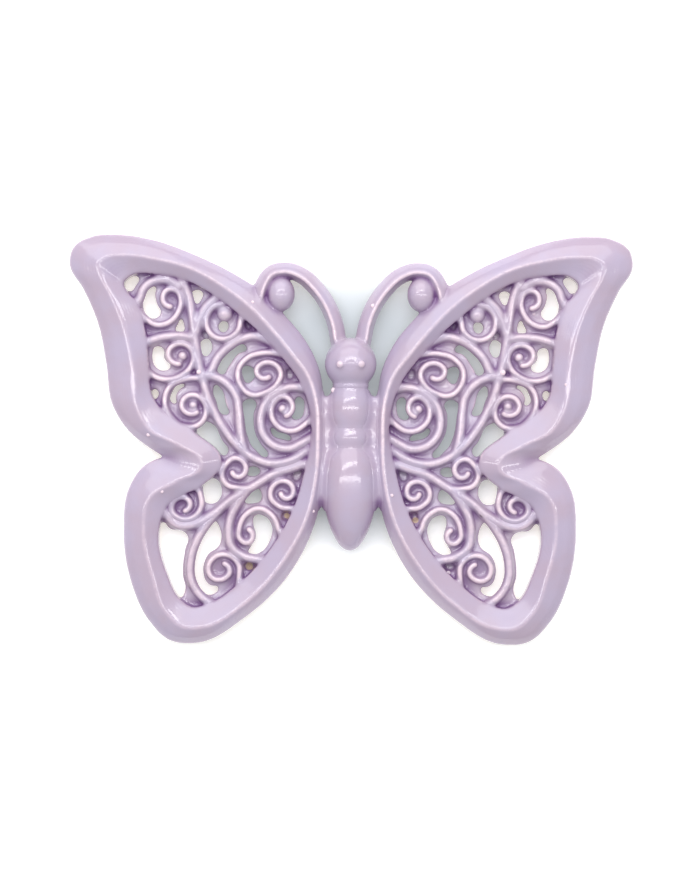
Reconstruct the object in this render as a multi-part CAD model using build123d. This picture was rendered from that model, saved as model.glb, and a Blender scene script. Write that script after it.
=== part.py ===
from build123d import *
import os
from math import sqrt

# An openwork butterfly ornament of glazed earthenware, lying on its back.
# X runs across the wings, Y from the tail towards the head, Z up from the table.
# Each wing is a moulded rim round two pierced panels, with coils of clay luted on
# the panels as scrolls. The body is a row of half-round lumps between the wings.

# Overall sizes, in millimetres
half_span = 110.0
wing_height = 159.0
percent = 0.01

# Heights above the table
pad_height = 2.0
foot_level = pad_height
panel_bottom = 2.7
panel_top = 6.0
inner_edge_level = 9.4
shoulder_level = 7.6
crest_level = 12.8
body_axis_level = 7.0

# The rim's rounded crest, and how far its outer band bulges over a straight slope
crest_width = 0.8
band_bulge = 0.6

# The coils that make the scrolls
coil_width = 4.3
# A curl's turns lie this far apart, in percent of the wing height, with a small gap
curl_turn_share = 2.0
curl_gap = 0.08
curl_width = wing_height * curl_turn_share * percent - curl_gap
coil_height = 3.1
coil_shoulder_share = 0.62
coil_neck_share = 0.68
button_radius = 1.9
button_height = 2.7
bead_radius = 3.2
bead_height = 3.3
pit_depth = 1.9

# The body, from the tail to the head
abdomen_radius = 10.4
waist_radius = 7.8
thorax_radius = 8.3
collar_radius = 7.2
collar_seat_radius = 6.6
head_radius = 10.1
eye_radius = 1.9
eye_spacing = 7.6
eye_sink = 0.5
eye_drop = 0.5
neck_dip = 0.4
saddle_top = 9.0
saddle_reach = 12.0

# The antennae and the balls at their ends
antenna_width = 6.4
antenna_height = 8.2
antenna_side_share = 0.42
# The antenna's ridge leans this share of its half width towards the loop's inside,
# and its outer slope bulges by this much over a straight one
antenna_lean_share = 0.42
antenna_bulge = 0.9
knob_width = 10.8
knob_length = 13.4

# The stick-on pads under the rims
pad_radius = 5.0

# Cuts run past the faces that they open by this much
overrun = 1.0
# A line that strays from straight by less than this share of itself is straight
straight_share = 0.001

# Shares of the half span and of the wing height, in percent: the outer edge, the
# crest and the inner edge of the right wing's rim at each of its stations
wing_rim_shares = [
    ((8.7, 1.3), (11.4, 0.6), (13.8, 1.3)),
    ((9.3, 9.4), (11.9, 9.4), (14.8, 9.1)),
    ((11.1, 17.9), (14.8, 16), (17.7, 14.5)),
    ((15.9, 24.8), (20.5, 21.3), (23.5, 20.1)),
    ((23.2, 30.9), (27.3, 27), (30, 25.3)),
    ((31.4, 36.6), (35, 32.6), (37.7, 30.1)),
    ((41.8, 41.3), (45, 37.9), (47.7, 35.5)),
    ((54.5, 45.5), (56.8, 42.3), (59.1, 39.6)),
    ((68.2, 49), (68.6, 44.4), (69.1, 40.9)),
    ((81.8, 50.6), (80, 45.3), (76.6, 40.8)),
    ((91.8, 50.1), (85.9, 44.8), (79.1, 39.8)),
    ((98.5, 47.2), (88.7, 43.3), (80.3, 38.6)),
    ((99.6, 43.6), (88.2, 40.9), (79.6, 37.3)),
    ((94.5, 37.1), (84.5, 35.8), (75.9, 34.1)),
    ((89.4, 28.9), (79.6, 27.4), (72.7, 27.7)),
    ((86.4, 18.9), (76.6, 17.6), (71.2, 18.9)),
    ((84.1, 8.8), (75.3, 8.8), (69.8, 11)),
    ((78.2, 2.5), (70.5, 2.9), (65, 6.7)),
    ((71.2, -1.4), (60, -0.9), (54.5, 2.1)),
    ((65.5, -3.8), (52.3, -5.3), (45.5, -5.3)),
    ((72.7, -5.8), (60.9, -9.6), (52.3, -10.7)),
    ((78.2, -11.3), (70.3, -13.6), (63.9, -15.1)),
    ((80, -20.8), (72.4, -21.4), (67.4, -22)),
    ((77.1, -34.6), (69.4, -32.1), (64.5, -32.1)),
    ((70.9, -43.7), (64.4, -41.3), (59.4, -38.7)),
    ((63.2, -48.6), (58.2, -45), (55.5, -40.3)),
    ((54.5, -49.2), (51.4, -45), (50.5, -39.7)),
    ((36.4, -42.6), (36.8, -39.2), (38.2, -34)),
    ((21.8, -32.7), (23.2, -28.8), (26.4, -24.5)),
    ((13.3, -21.7), (15.3, -18.4), (18.7, -13.7)),
    ((9.6, -11.3), (12, -8.8), (16.2, -7.2)),
]
# The station of the sharp notch between the forewing and the hindwing
notch_station = 19
# How much of the way from the crest to the outer edge the bulge stands
bulge_share = 0.55

# The line across the wing where the forewing panel meets the hindwing panel
seam_shares = [
    (9.1, -2.2), (14.5, -3.9), (20, -5.5), (27.3, -6.5), (31.8, -5.8),
    (36.6, -3.9), (40, -3.1), (45.5, -4.4), (50.9, -5.7),
]

# The crest lines of the coils, from where each starts to its curled end
main_vine_shares = [
    (13.2, -0.9), (16.4, -2.6), (21.8, -4.6), (27.3, -5.2), (34.5, -3.7),
    (40, -0.8), (45.5, 4.1), (49.1, 8.8), (51.2, 12.6), (52.4, 15.8),
    (53.6, 18.8), (54.5, 22.6), (55.4, 27), (56.2, 31.4), (57.5, 35.8), (60.5, 40.3),
]
vine_hook_shares = [(45.5, 35.8), (49.5, 34.2), (52.1, 32.1), (53.6, 29.6), (54.8, 26.4)]
vine_branch_shares = [(55.5, 25.3), (59.1, 25.8), (63.6, 25.8), (68.6, 25.2), (73.6, 23.6)]
leaf_inner_shares = [
    (36.8, -3), (38.2, 0), (39.1, 3.8), (39.5, 7.5), (40.5, 11.3), (43, 13.8),
    (46.8, 15.6), (51.9, 16.2),
]
upper_arc_shares = [
    (51.8, 14.8), (49.4, 17.3), (46.8, 20.8), (43.2, 23.3), (38.6, 25.2),
    (33.6, 25.9), (30.5, 25.3), (26.4, 23.3),
]
lower_arc_shares = [
    (13.2, 11.9), (18.6, 13.5), (25, 12.6), (30, 9.6), (31.8, 5.7), (30.5, 1.6),
    (26.6, -0.9), (21.8, -1.5), (16.8, -0.1), (11.8, 2.2),
]
long_branch_shares = [
    (13.2, -4.4), (19.1, -6), (27.3, -7.9), (34.5, -10.9), (41.8, -14),
    (49.1, -17.9), (55.5, -20.3), (60.9, -20.3), (64.5, -18.1), (66.2, -13.8),
]
branch_curl_shares = [
    (34.5, -10.9), (39.5, -11.2), (43.6, -10.3), (45.3, -7.9), (43.6, -5.2),
    (40.3, -3.9), (37.5, -5), (37.1, -7.3), (39.5, -8.5), (41.6, -7.5),
]
inner_branch_shares = [
    (36.4, -11.9), (39.5, -14.8), (42, -18.2), (42.8, -22), (41.5, -25.8),
    (37.3, -27.9), (32.7, -28.6), (27.3, -28.9),
]
outer_branch_shares = [
    (45.9, -16.5), (50.5, -20.1), (54.1, -24.2), (56.2, -28.9), (56.2, -33),
    (53.9, -36.5), (48.2, -39.6),
]
tip_arc_shares = [
    (76.8, 31.4), (74.9, 34.6), (72.7, 37.9), (69.1, 39.4), (63.6, 39.2), (60, 37.4),
]
tip_spiral_shares = [
    (75, 32.4), (72.7, 30.2), (68.2, 28.5), (63.9, 29.3), (60.9, 31.8), (60, 34.5),
    (61.6, 36.9), (64.5, 37.2), (66.4, 35.4), (65.5, 33.5), (63.8, 33),
]
hook_ring_shares = [
    (38.2, 34.3), (38.8, 30.2), (40.2, 26.9), (44.1, 25.2), (48.4, 25.8),
    (50.9, 28.2), (50.8, 30.9), (48.5, 33), (45.3, 33.6),
]
big_spiral_shares = [
    (20, 19.8), (25.5, 21.6), (30.9, 21.8), (36.4, 20.6), (39.7, 17.6), (39.1, 14.2),
    (35, 11.6), (29.8, 12.2), (25.9, 14.3), (24.7, 17), (27, 19.1), (31.2, 19.2),
    (33.2, 17.5), (31.8, 15.8), (28.9, 15.9),
]
small_spiral_shares = [
    (11.8, 8.2), (15.5, 4.7), (20.5, 2.8), (25.5, 3.9), (28, 6.9), (26.9, 9.9),
    (23.5, 11.2), (20.8, 9.7), (20.9, 7.5), (22.7, 6.5),
]
middle_spiral_shares = [
    (73.2, 18.9), (70.5, 16.5), (65.5, 15.2), (60, 16.1), (56.4, 18.4), (55.5, 21.3),
    (57.9, 23.6), (61.8, 23.8), (64.4, 21.8), (63.3, 19.7), (60.6, 19),
]
lower_spiral_shares = [
    (53.2, 15.5), (59.1, 15.2), (64.1, 13.2), (65.6, 9.7), (63.5, 6), (59.1, 3.8),
    (54.1, 4), (51.2, 6.4), (51.6, 9.7), (54.8, 11.4), (58.5, 10.7), (59.5, 8.5),
    (57.1, 6.9), (54.2, 7.2),
]
root_curl_shares = [
    (15.5, -16.9), (20, -16.2), (25, -15.6), (28.1, -13.1), (26.9, -10.4),
    (23.4, -9.4), (20.2, -11.1), (20.6, -13.2), (22.9, -13.7), (24.4, -12.6),
]
end_curl_shares = [
    (55.9, -9.4), (52.9, -12.8), (52.6, -16), (55.5, -18.5), (60, -18.7),
    (63, -16.5), (61.6, -14.1), (58.2, -13.6), (56.4, -15.3), (58.2, -16.9),
]
ring_shares = [
    (22.7, -25.8), (25, -21.4), (27.6, -17.8), (32.1, -16.2), (36.4, -17.5),
    (39, -20.8), (38.8, -23.6), (36.3, -24.6), (34.3, -23.1), (35.6, -21.4),
]
foot_curl_shares = [
    (40.9, -38.1), (39, -33.3), (39.6, -29.4), (43.6, -27.5), (48, -28.3),
    (49.9, -31), (48.1, -33.3), (44.2, -33.3), (42.3, -31.4), (44.2, -29.7),
]

# Where a button of clay sits in the middle of a scroll
button_shares = {
    "small_spiral": (24, 8.2),
    "middle_spiral": (59.4, 21),
    "lower_spiral": (55.6, 9),
}
bead_shares = {"hook_ring": (44.6, 31.4)}

# The holes pierced through the panels, as closed outlines
fore_hole_shares = [
    [(75.5, 40.4), (77.5, 40.6), (79.6, 39.2), (79.8, 37.5), (78.2, 36.7), (76.6, 37.9)],
    [
        (69.4, 38), (71.4, 38.1), (73.2, 35.5), (73.4, 32.4), (71.2, 30.3), (68.2, 30.6),
        (67.3, 31.8), (68.7, 33.6), (69.5, 35.8),
    ],
    [(60, 30.2), (61.3, 28.9), (62.1, 27.3), (60.5, 26.5), (59, 27.4), (59.3, 29.1)],
    [(52.5, 36.5), (54.5, 37.3), (56.5, 36.5), (56, 34.6), (54.5, 33.8), (53.1, 34.9)],
    [(43.6, 29.2), (46.6, 29.1), (46.8, 27.7), (45.2, 26.8), (43.6, 27.7)],
    [(49.2, 23.9), (50.9, 25.3), (52.9, 24.7), (53, 22.3), (51.6, 20.9), (49.7, 21.9)],
    [
        (36.9, 23.2), (38.5, 24.1), (42.5, 22.4), (46.2, 19.5), (47.3, 17.4), (45.6, 16.5),
        (43.3, 18.5), (40.5, 21.3),
    ],
    [(35.7, 18.6), (37.9, 18.5), (38.1, 16), (36.5, 14.4), (34.8, 15.1)],
    [
        (16.9, 10.6), (18.7, 11.2), (19.8, 9.7), (20.3, 7.5), (20.6, 5.9), (18, 5.8),
        (16.4, 8.2),
    ],
    [(20.9, 1.1), (24.5, 0.8), (28, 2.3), (28.2, 3.5), (25.5, 2.5), (21.8, 1.7)],
    [
        (34, 10.2), (36, 10.6), (37.9, 9.9), (37.5, 5.7), (36.5, 1.6), (34.5, -1.3),
        (29.1, -3.1), (31.4, -0.8), (33.8, 2.4), (34.4, 6.3),
    ],
    [
        (43.8, 6.6), (44.3, 9.7), (46, 13.1), (48, 14), (48.7, 12.8), (47.5, 9.9),
        (45.6, 6.9),
    ],
    [
        (43.3, -2.5), (45.5, 0.5), (48.9, 4.4), (50.9, 5), (54.5, 2.5), (50.9, 0.1),
        (46.4, -2.6), (44.5, -3.4),
    ],
    [
        (66.7, 23), (68.9, 23.4), (70.3, 20.8), (69, 18.2), (66.2, 17.4), (63.9, 18.2),
        (66, 20.3),
    ],
    [
        (58.5, 13.8), (60.3, 14.3), (63.1, 12.3), (63.6, 9.8), (62.1, 9.2), (61.8, 11.4),
        (60, 13.2),
    ],
    [(68, 12.1), (69.7, 13), (70.4, 11.3), (69.5, 9.7), (68.5, 10.7)],
]
hind_hole_shares = [
    [(31.9, -6.8), (34, -6), (35.8, -6.2), (36.3, -8.1), (34.2, -8.4)],
    [
        (31.5, -12.3), (32.8, -11.2), (35.2, -12.7), (37.2, -14.8), (34.5, -15),
        (31.8, -14.5),
    ],
    [
        (45.5, -11.2), (47.7, -9), (51.8, -10), (52, -12.3), (51.1, -14.8),
        (48.9, -15.2), (45.8, -13.5),
    ],
    [
        (27.7, -20.4), (30, -18.2), (33.8, -18.1), (34.2, -20.1), (33.3, -22.3),
        (34.5, -25), (35.8, -27.2), (31.4, -26.9), (28.4, -24.2),
    ],
    [
        (46.4, -20.6), (47.5, -19.4), (51.8, -23), (54.5, -28), (54.7, -33),
        (52.3, -36.9), (48.2, -37.3), (46.4, -36), (50.3, -34.7), (51.9, -31.4),
        (50.3, -27.7), (46.2, -25.3),
    ],
    [
        (57.5, -23), (59.1, -21.9), (63.6, -21.4), (66.5, -19.7), (67.3, -22.6),
        (65.9, -28.9), (62.3, -35.5), (59.4, -38.3), (58.5, -37.1), (59.2, -31.4),
        (58.4, -26.7),
    ],
]
# The small deep corners between coils that stop short of the panel's back
fore_pit_shares = [
    [(20.3, 15.8), (21.8, 18.2), (23, 16.7), (22, 15.2)],
    [(35, 28.5), (37.1, 29.9), (37.5, 28.3), (36.2, 27.4)],
    [(50.2, 25.8), (52.1, 27.2), (52.9, 26), (51.5, 25.5)],
]
hind_pit_shares = [
    [(17.2, -6.7), (20.7, -7.8), (18.7, -9.6), (17.5, -8.8)],
    [(22.1, -17), (24.2, -17.9), (23.1, -19.2), (21.7, -18.2)],
    [(33.6, -29.8), (36.4, -29.4), (37.5, -30.4), (35.9, -31.3)],
]

# Where the body's lumps start and end along the wing height, in percent of it; the
# head sits on the last of them
abdomen_tip_share = -26.7
abdomen_top_share = -1.3
waist_top_share = 3.5
thorax_top_share = 13.2
saddle_low_share = -14.5
saddle_high_share = 11.0
# Each lump's profile: how far along it, and the share of its greatest radius there
abdomen_profile_shares = [
    (1, 0.64), (0.93, 0.83), (0.82, 0.95), (0.66, 1.0), (0.48, 0.98), (0.3, 0.84),
    (0.14, 0.58), (0.04, 0.31), (0, 0),
]
waist_profile_shares = [(0, 0.86), (0.25, 0.97), (0.5, 1.0), (0.75, 0.97), (1, 0.86)]
thorax_profile_shares = [(0, 0.82), (0.2, 0.95), (0.5, 1.0), (0.8, 0.94), (1, 0.8)]

# The antenna's route from inside the head to the rim, and the middle of its ball
antenna_shares = [
    (3.3, 20.8), (4.5, 25.2), (5.5, 28.9), (8.2, 33.6), (12.2, 37.6), (17.3, 40.8),
    (22.7, 42.1), (28.2, 41.3), (31.2, 38.4), (32.6, 34.4),
]
knob_shares = (24.7, 36.2)
# How far along the ball its profile is worked out, from one end to the other
knob_profile_steps = (1, 0.94, 0.75, 0.5, 0.25, 0.06, 0)

# The middles of the right wing's two pads
pad_shares = [(88.6, 44.8), (59.5, -44.3)]


def at(shares, level=0.0):
    """The point that a pair of shares names on the right wing."""
    return Vector(shares[0] * half_span * percent, shares[1] * wing_height * percent, level)


def station(share):
    """A place along the body, from its share of the wing height."""
    return share * wing_height * percent


def tangent_at(before, here, after):
    """The direction at the middle one of three points on a round line."""
    first = here - before
    second = after - here
    return (first * second.dot(second) + second * first.dot(first)).normalized()


def reflected(direction, chord):
    """The direction at the far end of an arc, from that at its near end."""
    unit = chord.normalized()
    return unit * (2 * unit.dot(direction)) - direction


def end_tangents(points):
    """The direction at each point of an open line."""
    found = [
        tangent_at(points[i - 1], points[i], points[i + 1])
        for i in range(1, len(points) - 1)
    ]
    first = reflected(found[0], points[1] - points[0])
    last = reflected(found[-1], points[-1] - points[-2])
    return [first] + found + [last]


def loop_tangents(points):
    """The direction at each point of a closed line."""
    count = len(points)
    return [
        tangent_at(points[i - 1], points[i], points[(i + 1) % count])
        for i in range(count)
    ]


def arc_from(start, direction, end):
    """An arc, or a straight line where it hardly turns."""
    chord = end - start
    if abs(chord.cross(direction).Z) < straight_share * chord.length:
        return Line(start, end).edge()
    return TangentArc(start, end, tangent=direction).edge()


def arc_into(start, end, direction):
    """An arc whose direction is given where it ends."""
    return arc_from(start, reflected(direction, end - start), end)


def arc_pair(start, direction_in, end, direction_out):
    """Two arcs that leave and arrive in the given directions and meet smoothly."""
    span = end - start
    total = direction_in + direction_out
    turn = 2 * (1 - direction_in.dot(direction_out))
    if turn < straight_share ** 2:
        reach = span.dot(span) / (4 * span.dot(direction_out))
    else:
        along = span.dot(total)
        reach = (sqrt(along * along + turn * span.dot(span)) - along) / turn
    middle = (start + end + (direction_in - direction_out) * reach) * 0.5
    return [arc_from(start, direction_in, middle), arc_into(middle, end, direction_out)]


def arc_line(points):
    """A smooth open line of arcs through the points."""
    directions = end_tangents(points)
    edges = []
    for i in range(len(points) - 1):
        edges += arc_pair(points[i], directions[i], points[i + 1], directions[i + 1])
    return edges


def arc_loop(points):
    """A smooth closed face of arcs through the points."""
    directions = loop_tangents(points)
    count = len(points)
    edges = []
    for i in range(count):
        j = (i + 1) % count
        edges += arc_pair(points[i], directions[i], points[j], directions[j])
    return Face(Wire(edges))


def handle(chord, direction):
    """The length of a curve's handle that keeps it close to an arc."""
    return chord.length * 2 / 3 / (1 + direction.dot(chord) / chord.length)


def curve_loop(points, corner=None):
    """A closed line of one curve between each two points, sharp at one corner."""
    count = len(points)
    arriving = loop_tangents(points)
    leaving = list(arriving)
    if corner is not None:
        before = [points[(corner + k) % count] for k in (-2, -1, 0)]
        after = [points[(corner + k) % count] for k in (0, 1, 2)]
        arriving[corner] = reflected(tangent_at(*before), before[2] - before[1])
        leaving[corner] = reflected(tangent_at(*after), after[1] - after[0])
    edges = []
    for i in range(count):
        j = (i + 1) % count
        chord = points[j] - points[i]
        out_handle = leaving[i] * handle(chord, leaving[i])
        in_handle = arriving[j] * handle(chord, arriving[j])
        curve = Bezier(points[i], points[i] + out_handle, points[j] - in_handle, points[j])
        edges.append(curve.edge())
    return edges


def raised(edges, level):
    """Copies of flat edges at another height."""
    return [edge.moved(Location((0, 0, level))) for edge in edges]


def between(start, end, share):
    return start + (end - start) * share


def wing_rim():
    """The rim: side wall, bulging outer band, rounded crest and inner band."""
    outer = [at(row[0]) for row in wing_rim_shares]
    crest = [at(row[1]) for row in wing_rim_shares]
    inner = [at(row[2]) for row in wing_rim_shares]
    half_crest = crest_width / 2
    outer_crest = [c + (o - c).normalized() * half_crest for o, c in zip(outer, crest)]
    inner_crest = [c + (i - c).normalized() * half_crest for i, c in zip(inner, crest)]
    bulge = [between(c, o, bulge_share) for o, c in zip(outer, outer_crest)]
    bulge_level = crest_level + (shoulder_level - crest_level) * bulge_share + band_bulge
    outer_edges = curve_loop(outer, notch_station)
    inner_edges = curve_loop(inner)
    rings = [
        raised(outer_edges, foot_level),
        raised(outer_edges, shoulder_level),
        raised(curve_loop(bulge), bulge_level),
        raised(curve_loop(outer_crest), crest_level),
        raised(curve_loop(inner_crest), crest_level),
        raised(inner_edges, inner_edge_level),
        raised(inner_edges, foot_level),
    ]
    faces = []
    for lower, upper in zip(rings, rings[1:]):
        for low_edge, high_edge in zip(lower, upper):
            faces.append(Face.make_surface_from_curves(low_edge, high_edge))
    faces.append(Face(Wire(rings[0]), [Wire(rings[-1])]))
    return Solid(Shell(faces))


def window_block(bottom, top):
    """The space inside the rim, between two levels."""
    inner = curve_loop([at(row[2]) for row in wing_rim_shares])
    return extrude(Face(Wire(raised(inner, bottom))), amount=top - bottom, dir=(0, 0, 1))


def prism(shares, bottom, top):
    """A hole's shape, between two levels."""
    face = arc_loop([at(pair, bottom) for pair in shares])
    return extrude(face, amount=top - bottom, dir=(0, 0, 1))


def forewing_side():
    """All the space on the forewing's side of the seam."""
    line = [at(pair, panel_bottom - overrun) for pair in seam_shares]
    low = Vector(line[0].X, wing_height, line[0].Z)
    high = Vector(half_span, wing_height, line[0].Z)
    seam_end = Vector(half_span, line[-1].Y, line[0].Z)
    outline = Polyline(*line, seam_end, high, low, close=True)
    return extrude(make_face(outline), amount=crest_level, dir=(0, 0, 1))


def pierced(panel, holes, pits):
    """A panel with its holes cut through and its pits cut part of the way."""
    below = panel_bottom - overrun
    above = panel_top + overrun
    tools = [prism(shares, below, above) for shares in holes]
    tools += [prism(shares, panel_top - pit_depth, above) for shares in pits]
    return whole(panel - tools)


def coil_face(plane, width):
    """A coil's section on a plane: flat under, sloping up to a round crest."""
    half = width / 2
    neck = half * coil_neck_share
    shoulder = coil_height * coil_shoulder_share
    rise = Line((half, 0), (neck, shoulder))
    top = ThreePointArc((neck, shoulder), (0, coil_height), (-neck, shoulder))
    fall = Line((-neck, shoulder), (-half, 0))
    return plane * make_face([rise, top, fall, Line((-half, 0), (half, 0))])


def upright(point, direction):
    """A plane across a line's direction, with its own X to the left of the line."""
    return Plane(origin=point, x_dir=Vector(0, 0, 1).cross(direction), z_dir=direction)


def coil(shares, width=coil_width, capped=True):
    """A coil of clay laid along a line of arcs; its last end is rounded if capped."""
    points = [at(pair, panel_top) for pair in shares]
    edges = arc_line(points)
    start_plane = upright(points[0], edges[0] % 0)
    body = sweep(coil_face(start_plane, width), Wire(edges))
    if not capped:
        return body
    end_plane = upright(points[-1], edges[-1] % 1)
    half_room = Rectangle(width, coil_height, align=(Align.MIN, Align.MIN))
    half_face = coil_face(end_plane, width) & (end_plane * half_room)
    cap = revolve(half_face, axis=Axis(points[-1], (0, 0, -1)), revolution_arc=180)
    return body + cap


def antenna():
    """The antenna: steep towards the loop's inside, with a broad slope outside."""
    points = [at(pair, panel_bottom) for pair in antenna_shares]
    edges = arc_line(points)
    half = antenna_width / 2
    shoulder = antenna_height * antenna_side_share
    left = Vector(half, shoulder)
    ridge = Vector(-half * antenna_lean_share, antenna_height)
    middle = (left + ridge) * 0.5 + Vector(0, antenna_bulge)
    rise = Line((half, 0), left)
    slope = ThreePointArc(left, middle, ridge)
    steep = Line(ridge, (-half, shoulder))
    fall = Line((-half, shoulder), (-half, 0))
    outline = make_face([rise, slope, steep, fall, Line((-half, 0), (half, 0))])
    return sweep(upright(points[0], edges[0] % 0) * outline, Wire(edges))


def dome(shares, radius, height):
    """A button of clay: a short drum with a round top."""
    centre = at(shares, panel_top)
    plane = Plane(origin=centre, x_dir=(1, 0, 0), z_dir=(0, -1, 0))
    side = height - radius
    foot = Line((0, 0), (radius, 0))
    wall = Line((radius, 0), (radius, side))
    top = TangentArc((radius, side), (0, height), tangent=(0, 1))
    outline = plane * make_face([foot, wall, top, Line((0, height), (0, 0))])
    return revolve(outline, axis=Axis(centre, (0, 0, 1)))


def lump(profile_shares, low, high, radius):
    """A body piece turned about the body's axis, with a flat back."""
    length = high - low
    points = [Vector(radius * r, low + length * a) for a, r in profile_shares]
    directions = end_tangents(points)
    if points[0].X == 0:
        directions[0] = Vector(1, 0)
    if points[-1].X == 0:
        directions[-1] = Vector(-1, 0)
    edges = []
    for i in range(len(points) - 1):
        edges += arc_pair(points[i], directions[i], points[i + 1], directions[i + 1])
    corners = [points[-1], Vector(0, points[-1].Y), Vector(0, points[0].Y), points[0]]
    edges += [Line(a, b).edge() for a, b in zip(corners, corners[1:]) if a != b]
    turned = revolve(Face(Wire(edges)), axis=Axis.Y)
    return flat_backed(turned.moved(Location((0, 0, body_axis_level))))


def flat_backed(solid):
    """The part of a body piece above the panels' back."""
    box = solid.bounding_box(optimal=False)
    size = box.size + Vector(overrun, overrun, overrun) * 2
    middle = box.center()
    below = Box(size.X, size.Y, size.Z, align=(Align.CENTER, Align.CENTER, Align.MAX))
    return solid - below.moved(Location((middle.X, middle.Y, panel_bottom)))


def head():
    """The head's ball, turned about the body's axis like the other lumps."""
    ball = Sphere(head_radius, rotation=(90, 0, 0))
    return flat_backed(ball.moved(Location((0, head_place(), body_axis_level))))


def head_place():
    """The middle of the head along the body: its ball dips into the thorax."""
    return station(thorax_top_share) + head_radius - neck_dip


def collar():
    """The bead of clay round the neck, seated on the head's ball."""
    low = station(thorax_top_share)
    middle = head_place()
    seat = Vector(collar_seat_radius, middle - sqrt(head_radius ** 2 - collar_seat_radius ** 2))
    inner = Vector(sqrt(head_radius ** 2 - (middle - low) ** 2), low)
    outer = Vector(collar_seat_radius, low)
    bead = ThreePointArc(outer, Vector(collar_radius, (low + seat.Y) / 2), seat)
    ball = TangentArc(seat, inner, tangent=(seat.Y - middle, -seat.X))
    turned = revolve(make_face([bead, ball, Line(inner, outer)]), axis=Axis.Y)
    return flat_backed(turned.moved(Location((0, 0, body_axis_level))))


def eye():
    """The right eye: a ball whose lower part is cut away where the head begins."""
    aside = eye_spacing / 2
    up = sqrt(head_radius ** 2 - aside ** 2 - eye_drop ** 2) - eye_sink
    head_centre = Vector(0, head_place(), body_axis_level)
    outward = Vector(aside, -eye_drop, up)
    reach = outward.length
    rim_height = (reach ** 2 + head_radius ** 2 - eye_radius ** 2) / (2 * reach)
    rim = Vector(sqrt(head_radius ** 2 - rim_height ** 2), rim_height)
    seat = TangentArc((0, head_radius), rim, tangent=(1, 0))
    ball = TangentArc((0, reach + eye_radius), rim, tangent=(1, 0))
    spine = Line((0, head_radius), (0, reach + eye_radius))
    side = Vector(0, -up, -eye_drop)
    plane = Plane(origin=head_centre, x_dir=side, z_dir=side.cross(outward))
    return revolve(plane * make_face([seat, ball, spine]), axis=Axis(head_centre, outward))


def knob():
    """The ball at the antenna's end: a long ball turned about its long axis."""
    half_length = knob_length / 2
    profile = [(a, sqrt(1 - (2 * a - 1) ** 2)) for a in knob_profile_steps]
    ball = lump(profile, -half_length, half_length, knob_width / 2)
    return ball.moved(Location(at(knob_shares)))


def saddle():
    """The clay that joins the body to the right wing's rim."""
    low = station(saddle_low_share)
    high = station(saddle_high_share)
    block = Box(
        saddle_reach, high - low, saddle_top - panel_bottom,
        align=(Align.MIN, Align.MIN, Align.MIN),
    )
    return block.moved(Location((0, low, panel_bottom)))


def whole(shape):
    """The piece itself, without the crumbs that a cut can leave beside it."""
    return max(shape.solids(), key=lambda solid: solid.volume)


def apart(first, second):
    """True where two pieces' boxes don't meet."""
    one = first.bounding_box(optimal=False)
    two = second.bounding_box(optimal=False)
    gap_x = max(one.min.X - two.max.X, two.min.X - one.max.X)
    gap_y = max(one.min.Y - two.max.Y, two.min.Y - one.max.Y)
    return max(gap_x, gap_y) > 0


def fitted(piece, neighbours):
    """A piece cut back to where its neighbours begin."""
    for other in neighbours:
        if not apart(piece, other):
            piece = whole(piece - other)
    return whole(piece)


def right_scrolls():
    """The right wing's coils, in the order in which they were laid."""
    room = window_block(panel_top, inner_edge_level)
    vine = coil(main_vine_shares, capped=False) + coil(vine_hook_shares, capped=False)
    vine = vine + coil(vine_branch_shares, capped=False)
    branch = coil(long_branch_shares, capped=False) + coil(branch_curl_shares, curl_width)
    laid = {
        "main_vine": vine,
        "leaf_inner": coil(leaf_inner_shares, capped=False),
        "upper_arc": coil(upper_arc_shares, capped=False),
        "lower_arc": coil(lower_arc_shares, capped=False),
        "long_branch": branch,
        "inner_branch": coil(inner_branch_shares, capped=False),
        "outer_branch": coil(outer_branch_shares, capped=False),
        "tip_arc": coil(tip_arc_shares, capped=False),
        "tip_spiral": coil(tip_spiral_shares, curl_width),
        "hook_ring": coil(hook_ring_shares, curl_width),
        "big_spiral": coil(big_spiral_shares, curl_width),
        "small_spiral": coil(small_spiral_shares, curl_width),
        "middle_spiral": coil(middle_spiral_shares, curl_width),
        "lower_spiral": coil(lower_spiral_shares, curl_width),
        "root_curl": coil(root_curl_shares, curl_width),
        "end_curl": coil(end_curl_shares, curl_width),
        "ring": coil(ring_shares, curl_width),
        "foot_curl": coil(foot_curl_shares, curl_width),
    }
    for name, shares in button_shares.items():
        laid[name] = laid[name] + dome(shares, button_radius, button_height)
    for name, shares in bead_shares.items():
        laid[name] = laid[name] + dome(shares, bead_radius, bead_height)
    done = {}
    for name, piece in laid.items():
        done[name] = fitted(piece & room, list(done.values()))
    return done


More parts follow.
